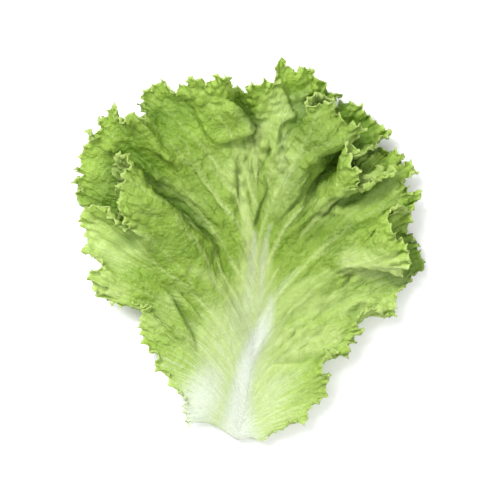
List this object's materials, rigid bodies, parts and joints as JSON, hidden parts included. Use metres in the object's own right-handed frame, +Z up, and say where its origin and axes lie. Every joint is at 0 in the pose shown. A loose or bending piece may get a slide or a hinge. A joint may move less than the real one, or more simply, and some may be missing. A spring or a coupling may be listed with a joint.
{
  "type": "lettuce leaf",
  "caption": "Loose leaf of green leaf lettuce lying on its back, with a fan-shaped frilled blade, a pale midrib and a torn base",
  "frame": {"origin": "middle of the flat spot under the midrib on which the leaf rests", "axes": "+X is the leaf's right side seen from above with the torn base towards the viewer, +Y runs from the torn base to the tip, +Z is up out of the face of the leaf"},
  "size_m": [0.2037, 0.2213, 0.0358],
  "materials": {
    "leaf": "fresh, moist leaf tissue with a soft waxy sheen: yellow-green frills, a blistered green blade and a white juicy midrib"
  },
  "bodies": {
    "root": {"leaf": "leaf"}
  },
  "joints": []
}
